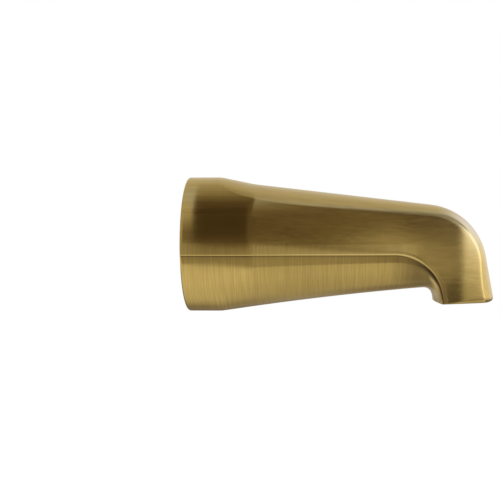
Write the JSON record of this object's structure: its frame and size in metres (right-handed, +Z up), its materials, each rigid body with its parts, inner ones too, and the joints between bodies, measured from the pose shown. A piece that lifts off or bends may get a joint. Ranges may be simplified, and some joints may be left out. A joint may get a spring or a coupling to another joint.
{
  "type": "bath spout",
  "caption": "Wall-mounted bath spout with a round threaded wall end, flat leaning sides over a crease, and a nose that turns down to an open outlet.",
  "frame": {"origin": "centre of the wall face, on the axis of the inlet thread", "axes": "+X out of the wall towards the nose, +Z up, symmetrical about Y = 0"},
  "size_m": [0.1281, 0.057, 0.0567],
  "materials": {
    "antique_brass": "satin, brushed and darkened"
  },
  "bodies": {
    "root": {"spout_body": "antique_brass"}
  },
  "joints": []
}
